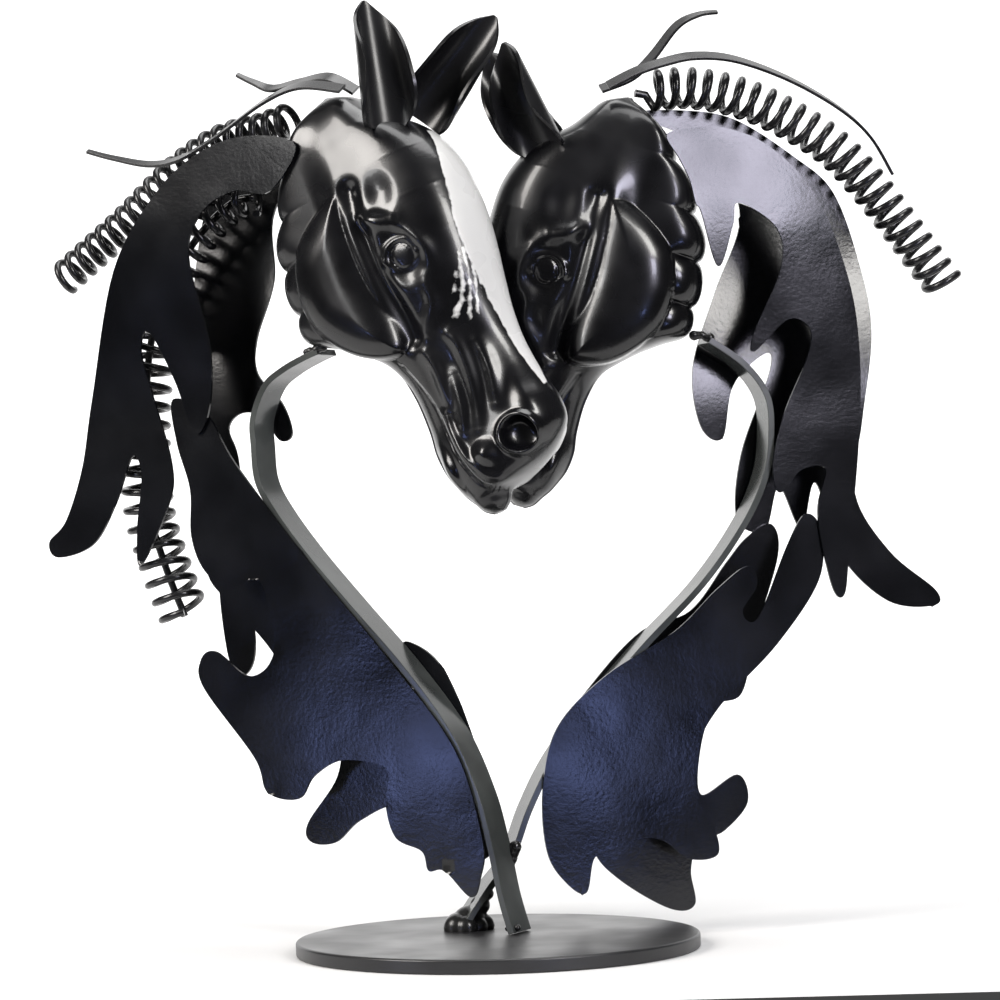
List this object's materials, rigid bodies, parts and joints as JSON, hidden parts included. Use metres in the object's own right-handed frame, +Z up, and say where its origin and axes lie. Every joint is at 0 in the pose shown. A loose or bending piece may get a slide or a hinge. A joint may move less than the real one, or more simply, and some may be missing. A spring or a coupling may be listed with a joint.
{
  "type": "metal horse statue",
  "caption": "Tabletop statue of horse heads with flowing cut sheet-metal manes and coil springs, on crossed curved bars and a round base.",
  "frame": {"origin": "centre of the base disc's underside", "axes": "+Z up, +X to the viewer's right, +Y away from the viewer"},
  "size_m": [0.2984, 0.1398, 0.2967],
  "materials": {
    "black_base": "satin",
    "black_bar": "satin",
    "black_head": "gloss",
    "black_plate": "satin",
    "black_wire": "gloss",
    "black_wisp": "satin"
  },
  "bodies": {
    "root": {"base_disc": "black_base", "left_bar": "black_bar", "right_bar": "black_bar", "left_head": "black_head", "right_head": "black_head", "left_near_ear": "black_head", "left_far_ear": "black_head", "right_near_ear": "black_head", "right_far_ear": "black_head", "left_upper_front_plate": "black_plate", "left_upper_back_plate": "black_plate", "left_lower_front_plate": "black_plate", "left_lower_back_plate": "black_plate", "right_upper_front_plate": "black_plate", "right_upper_back_plate": "black_plate", "right_lower_front_plate": "black_plate", "right_lower_back_plate": "black_plate", "left_crest_spring": "black_wire", "left_inner_spring": "black_wire", "right_crest_spring": "black_wire", "left_rod": "black_wire", "left_short_wisp": "black_wisp", "left_long_wisp": "black_wisp", "right_short_wisp": "black_wisp", "right_long_wisp": "black_wisp"}
  },
  "joints": []
}
